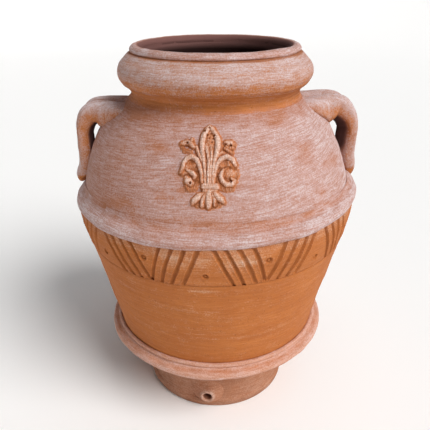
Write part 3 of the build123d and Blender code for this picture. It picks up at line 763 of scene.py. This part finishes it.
# --- the lily -----------------------------------------------------------------------------
# Rolls of clay as (sideways, up the slope, half width, height) in mm, in the lily's own plane.
LILY = {
    "lily_centre_petal": dict(
        rolls=[[(4.5, -27, 4.6, 4.2), (4.5, 0, 5.6, 4.2), (5, 20, 8, 4.1), (6, 40, 10.5, 4.1),
                (6, 55, 6, 4.0)],
               [(1.5, -27, 2.6, 5.0), (0.2, -10, 2.4, 5.6), (-2, 6, 2.6, 6.4), (-5, 22, 3.2, 7.0),
                (-6, 36, 3.8, 7.4), (-4.5, 48, 3.9, 7.2), (0.5, 58, 4.0, 6.8), (4, 62.5, 3.2, 6.0)],
               [(12.5, -27, 2.8, 5.0), (11.5, -10, 2.8, 5.6), (12.5, 5, 2.8, 6.2), (15.5, 18, 3.4, 6.8),
                (17.5, 32, 4.2, 7.6), (16.5, 43, 4.0, 7.4), (11.5, 53, 3.8, 7.0), (7, 60, 3.6, 6.4)],
               [(5.2, -27, 2.7, 6.4), (5.0, -8, 2.6, 6.9), (5.2, 8, 2.2, 6.4), (3.2, 18, 2.6, 6.0),
                (1.2, 27, 3.4, 6.2), (0.8, 34, 2.6, 5.0)],
               [(8.6, -27, 2.2, 5.4), (8.4, -6, 2.2, 5.8), (8.6, 10, 2.2, 5.8), (8.8, 20, 2.4, 5.6),
                (7.4, 29, 2.6, 5.2)]],
        pits=[(-3.6, 55, 2.6, 3.2), (11.2, 48, 2.4, 3.4), (3.2, 60.5, 1.8, 2.6), (10, 43, 1.8, 2.2),
              (1, 49, 1.7, 2.2), (6, 51, 1.6, 2.0), (4, 44, 1.5, 1.8), (8, 37, 1.6, 1.6),
              (2, 39, 1.3, 1.4)]),
    "lily_left_stamen": dict(
        rolls=[[(-3.4, 4, 2.4, 4.4), (-8, 14, 2.6, 5.0), (-11.5, 22, 2.6, 5.2), (-14.5, 30, 2.4, 4.8)],
               [(-37, 36, 3.4, 4.4), (-30, 36.5, 4.4, 5.6), (-24, 36, 4.4, 6.0), (-18, 29, 2.6, 5.0)],
               [(-24, 35, 4.0, 5.6), (-21.5, 42, 2.4, 5.0)],
               [(-36, 30, 3.0, 2.6), (-30, 25, 4.6, 2.8), (-23, 22.5, 3.4, 2.8)]],
        pits=[(-28.2, 36, 2.0, 4.5), (-30, 29.5, 4.2, 1.8), (-24.5, 25.5, 3.0, 1.6)]),
    "lily_right_stamen": dict(
        rolls=[[(11, 3, 2.6, 4.4), (14.5, 12, 2.8, 5.0), (18.5, 18, 2.8, 5.0), (24, 22.5, 2.6, 4.4)],
               [(29.5, 38, 3.8, 5.0), (35, 36.5, 5.4, 6.0), (39.5, 36, 3.4, 5.2)],
               [(28, 28.5, 2.6, 4.4), (32.5, 26, 2.8, 4.6), (38, 22.5, 2.6, 3.8)],
               [(31, 31, 3.8, 4.4), (38, 31, 3.6, 4.2)]],
        pits=[(35.8, 33.6, 2.1, 4.5), (28.6, 35, 1.8, 2.2)]),
    "lily_left_petal": dict(
        rolls=[[(-3.5, -24, 2.6, 4.6), (-5, -10, 2.8, 5.6), (-8.5, 1, 3.2, 6.4), (-13.5, 10, 3.6, 7.2),
                (-20.5, 14, 3.6, 7.6), (-27.5, 11.5, 3.4, 7.2), (-32, 4.5, 3.2, 6.6),
                (-33, -3, 3.2, 5.8), (-35.5, -9, 3.2, 4.6)],
               [(-30, -3, 2.4, 4.6), (-24, -7, 2.8, 5.4), (-18, -10, 3.4, 6.4), (-14.5, -14.5, 3.2, 6.2),
                (-16, -18, 2.4, 4.8)],
               [(-27.5, -17, 3.4, 5.0), (-24, -22, 5.6, 6.4), (-19.5, -26, 4.2, 5.6)],
               [(-28, -28, 3.0, 3.2), (-23, -34, 3.6, 3.4), (-16, -32, 5.0, 3.0), (-12, -24, 4.0, 2.6)],
               [(-18, 5, 8.5, 4.0), (-26, 0, 7.5, 3.8), (-34, -10, 4.4, 3.6), (-12, -4, 5.0, 2.6)],
               [(-12, -6, 4.5, 1.6), (-10, -20, 4.5, 1.4)]],
        pits=[(-21.2, -25, 2.1, 4.5), (-20, 6, 5.5, 1.2)]),
    "lily_right_petal": dict(
        rolls=[[(13, -24, 2.6, 4.6), (14.5, -8, 2.8, 5.4), (17.5, 4, 3.2, 6.2), (23.5, 12, 3.6, 7.2),
                (31, 15.5, 3.8, 7.6), (39, 12, 3.6, 7.2), (43.5, 4, 3.2, 6.0)],
               [(31, -2.5, 2.4, 4.4), (25.5, -6.5, 2.8, 6.0), (23, -14, 3.0, 6.6), (25.5, -21, 3.2, 6.6),
                (32, -26, 3.4, 6.4), (39.5, -25, 3.4, 6.0), (43.5, -19.5, 3.0, 5.4), (38, -15.5, 2.4, 4.4)],
               [(36, -7.5, 9.5, 4.6), (38, -9, 8.5, 4.6)],
               [(24, 3, 7.5, 3.8), (33, 6, 7.0, 4.0), (41, -2, 4.5, 3.6)],
               [(17, -14, 5, 1.8), (22, -27, 6.0, 2.2), (32, -31, 5.0, 2.6), (40, -31, 3.4, 2.4)]],
        pits=[(38.2, -20.8, 2.1, 4.5), (30, 7, 5.5, 1.0), (35.5, -1.5, 3.2, 1.0)]),
    "lily_band": dict(
        rolls=[[(-0.5, -29.5, 4.4, 7.0), (17.5, -29.5, 4.4, 7.0)],
               [(0.5, -35.5, 3.4, 4.8), (16.5, -35.5, 3.4, 4.8)]],
        pits=[]),
    "lily_tail": dict(
        rolls=[[(7, -38, 4.6, 5.6), (6.8, -50, 5.0, 6.8), (6.6, -57.5, 3.8, 5.8)],
               [(2, -39, 3.2, 4.8), (-2, -48, 3.6, 5.8), (-3, -56.5, 3.2, 5.0)],
               [(12, -39, 2.8, 4.8), (14.5, -48, 3.2, 5.6), (15.5, -55, 2.8, 4.8)],
               [(-1, -40, 3.2, 4.6), (-8, -44, 4.6, 6.2), (-14.5, -50, 4.2, 6.2), (-17, -54, 2.6, 4.8)],
               [(13, -38, 3.0, 4.6), (18, -42, 4.2, 6.0), (24, -46.5, 4.4, 6.4), (28.5, -50.5, 2.8, 5.0)],
               [(-10, -54, 5.0, 2.2), (20, -53, 5.5, 2.2), (6, -52, 9.0, 2.6)]],
        pits=[(-7.5, -53, 2.4, 1.4), (19.5, -52, 2.4, 1.4)]),
}
LILY_CELL = 0.62
LILY_WEB = 4.2      # lower pieces are the flat clay between the rolls


def roll_height(u, v, points):
    """Height of one tapering roll of clay, with a skirt that falls below zero away from it."""
    best = np.full(u.shape, -9.0)
    for (ax, ay, aw, ah), (bx, by, bw, bh) in zip(points, points[1:]):
        full = 1.32 if ah > LILY_WEB else 1.0
        aw, bw = aw * full, bw * full
        dx, dy = bx - ax, by - ay
        t = np.clip(((u - ax) * dx + (v - ay) * dy) / (dx * dx + dy * dy), 0, 1)
        d = np.hypot(u - ax - t * dx, v - ay - t * dy) / (aw + (bw - aw) * t)
        rise = (ah + (bh - ah) * t) * np.clip(1 - d**2.1, 0, 1) ** 0.62
        skirt = 1.5 - 1.9 * (d - 1) * (aw + (bw - aw) * t) ** 0.5
        best = np.maximum(best, np.where(d < 1, np.maximum(rise, 1.5), skirt))
    return best


def lily_piece(name, rolls, pits):
    points = np.array([p for roll in rolls for p in roll])
    u0, u1 = points[:, 0].min() - 11, points[:, 0].max() + 11
    v0, v1 = points[:, 1].min() - 11, points[:, 1].max() + 11
    u, v = np.meshgrid(np.arange(u0, u1, LILY_CELL), np.arange(v0, v1, LILY_CELL))
    layers = [roll_height(u, v, roll) for roll in rolls]
    top = np.maximum.reduce(layers)
    rank = np.sort(np.stack(layers), 0)
    seam = np.exp(-((rank[-1] - rank[-2]) / 1.1) ** 2) * (rank[-2] > 0.5) if len(layers) > 1 else 0 * top
    hole = 0 * top
    for hu, hv, radius, depth in pits:
        d = np.hypot(u - hu, v - hv) / radius
        top = top - depth * np.clip(1 - d**2, 0, 1) ** 0.7
        hole = np.maximum(hole, np.clip(1.15 - d, 0, 1) * min(1, depth / 3.5))
    inside = np.maximum.reduce(layers) > -1.4
    mould = 0.62 * dents(u * 9, v * 3 + 200) + 0.42 * blots(u * 16, v * 5 + 260)
    mould = mould + 0.30 * grit(u, v * 2 + 300)
    crumbs = np.random.default_rng(SEED + 90).uniform(-1, 1, top.shape)
    top = np.clip(top + mould, -1.6, None) + 0.1 * crumbs
    a, lean = math.radians(LILY_AZ), math.radians(LILY_TILT)
    out = np.array([math.sin(a), -math.cos(a), 0])
    side = np.array([math.cos(a), math.sin(a), 0])
    normal = out * math.cos(lean) + np.array([0, 0, math.sin(lean)])
    rise = np.cross(normal, side)
    base = out * LILY_R + np.array([0, 0, LILY_Z]) + u[..., None] * side + v[..., None] * rise
    shoulder_line = catmull(SHOULDER, 0.5)
    low, high = np.full(u.shape, -60.0), np.full(u.shape, 60.0)
    for _ in range(24):
        mid = (low + high) / 2
        p = base + mid[..., None] * normal
        wall_r = np.interp(p[..., 2], shoulder_line[:, 1], shoulder_line[:, 0])
        outside = np.hypot(p[..., 0], p[..., 1]) > wall_r
        high, low = np.where(outside, mid, high), np.where(outside, low, mid)
    ground = base + low[..., None] * normal
    az = np.degrees(np.arctan2(ground[..., 0], -ground[..., 1]))
    ground = ground + (skin(az, ground[..., 2]))[..., None] * normal
    upper, under = ground + top[..., None] * normal, ground - 3.0 * normal
    rows, columns = u.shape
    cell = inside[:-1, :-1] & inside[1:, :-1] & inside[:-1, 1:] & inside[1:, 1:]
    index = np.arange(rows * columns).reshape(rows, columns)
    j, i = np.nonzero(cell)
    corners = np.stack([index[j, i], index[j, i + 1], index[j + 1, i + 1], index[j + 1, i]], 1)
    flat_u, flat_v = (u - u.min()) / np.ptp(u), (v - v.min()) / np.ptp(v)
    flat = np.stack([flat_u, flat_v], -1).reshape(-1, 2)
    n = rows * columns
    quads = [corners, corners[:, ::-1] + n]
    uv = [flat[corners] * 0.86, flat[corners[:, ::-1]] * 0.1 + [0.88, 0.0]]
    padded = np.pad(cell, 1)
    for dj, di, ends in ((-1, 0, (0, 1)), (0, 1, (1, 2)), (1, 0, (2, 3)), (0, -1, (3, 0))):
        rim = ~padded[1 + dj: 1 + dj + cell.shape[0], 1 + di: 1 + di + cell.shape[1]][j, i]
        p, q = corners[rim, ends[0]], corners[rim, ends[1]]
        quads.append(np.stack([q, p, p + n, q + n], 1))
        edge = flat[np.stack([q, p, p, q], 1)] * 0.1 + [0.88, 0.2]
        edge[:, 2:] += 0.004
        uv.append(edge)
    quads, uv = np.vstack(quads), np.vstack(uv)
    used, new = np.unique(quads, return_inverse=True)
    verts = np.concatenate([upper.reshape(-1, 3), under.reshape(-1, 3)])[used]
    high_part = smooth(top, 3.4, 6.6)
    # Raised clay carries more lime, painted lighter as highlights on the crests; the pits, the seams between
    # rolls and the low clay beside them are painted dark as shade.
    wash = 0.05 + 1.05 * high_part + 0.35 * blots(u * 12, v * 4 + 300) - 0.6 * hole - 0.3 * seam
    dark = 0.9 * hole + 0.55 * seam * (1 - 0.3 * high_part) + 0.55 * bump(top, 2.2, 1.3)
    tone = np.stack([wash, 0.75 * (1 - high_part), dark, 0 * wash], -1).reshape(-1, 4)
    tone = np.concatenate([tone, tone])[used]
    flow = np.concatenate([ground.reshape(-1, 3), ground.reshape(-1, 3)])[used] * MM
    make_object(name, verts, new.reshape(-1, 4).tolist(), uv, tone, flow, MOULDED, [name],
                sharp=75)


for piece, shape in LILY.items():
    lily_piece(piece, **shape)


# --- stage, light and camera ----------------------------------------------------------------
# the floor is flat near the jar and curves up far away, in metres
FLOOR_FLAT, FLOOR_REACH, FLOOR_RISE, FLOOR_TURNS = 6.0, 13.0, 3.2, 96
FLOOR_ALBEDO, WORLD_LIGHT = 0.97, 0.09
SENSOR, FOCAL, WIDTH = 36.0, 480, 430          # sensor in mm; focal length and width of the picture alike
CAMERA_AT = (-2.0, -874.1, 783.0)              # mm
CAMERA_DOWN, CAMERA_ROLL = 25.35, -0.287       # degrees

floor_r = np.concatenate([[0.01, 1, 3], np.linspace(FLOOR_FLAT, FLOOR_REACH, 16)])
floor_z = FLOOR_RISE * (np.clip(floor_r - FLOOR_FLAT, 0, None) / (FLOOR_REACH - FLOOR_FLAT)) ** 2
floor_a = np.arange(FLOOR_TURNS) * 2 * math.pi / FLOOR_TURNS
floor_at = np.stack([np.outer(floor_r, np.sin(floor_a)), np.outer(floor_r, np.cos(floor_a)),
                     np.outer(floor_z, np.ones(FLOOR_TURNS))], -1).reshape(-1, 3)
floor_mesh = bpy.data.meshes.new("floor")
floor_mesh.from_pydata(floor_at.tolist(), [], grid_faces(len(floor_r), FLOOR_TURNS)[:-FLOOR_TURNS].tolist()
                       + [list(range(FLOOR_TURNS))])
floor_mesh.shade_smooth()
floor = bpy.data.objects.new("floor", floor_mesh)
bpy.context.scene.collection.objects.link(floor)
floor_look = Graph("pale_floor")
floor_shader = floor_look.add("ShaderNodeBsdfDiffuse")
floor_shader.inputs[0].default_value = (FLOOR_ALBEDO, FLOOR_ALBEDO, FLOOR_ALBEDO, 1)
floor_look.join(floor_shader.outputs[0], floor_look.add("ShaderNodeOutputMaterial").inputs[0])
floor_mesh.materials.append(floor_look.material)

world = bpy.data.worlds.new("studio")
world.use_nodes = True
world.node_tree.nodes["Background"].inputs[0].default_value = (1.0, 1.0, 1.0, 1)
world.node_tree.nodes["Background"].inputs[1].default_value = WORLD_LIGHT
bpy.context.scene.world = world


def sun(name, azimuth, elevation, strength, spread, colour=(1, 1, 1)):
    light = bpy.data.lights.new(name, "SUN")
    light.energy, light.angle, light.color = strength, math.radians(spread), colour
    obj = bpy.data.objects.new(name, light)
    a, e = math.radians(azimuth), math.radians(elevation)
    towards = Vector((math.sin(a) * math.cos(e), -math.cos(a) * math.cos(e), math.sin(e)))
    obj.rotation_mode = "QUATERNION"
    obj.rotation_quaternion = towards.to_track_quat("Z", "Y")
    bpy.context.scene.collection.objects.link(obj)


sun("key", 50, 42, 3.1, 36, (1.0, 0.985, 0.965))
sun("overhead", 60, 78, 0.6, 60, (0.96, 0.98, 1.0))

camera_data = bpy.data.cameras.new("camera")
camera_data.sensor_width = SENSOR
camera_data.lens = SENSOR * FOCAL / WIDTH
camera_data.clip_start, camera_data.clip_end = 0.01, 200
camera = bpy.data.objects.new("camera", camera_data)
camera.location = Vector(CAMERA_AT) * MM
aim = Euler((math.radians(90 - CAMERA_DOWN), 0, 0)).to_matrix().to_4x4()
camera.rotation_euler = (aim @ Matrix.Rotation(math.radians(CAMERA_ROLL), 4, "Z")).to_euler()
bpy.context.scene.collection.objects.link(camera)
bpy.context.scene.camera = camera
bpy.context.scene.view_settings.view_transform = "Standard"
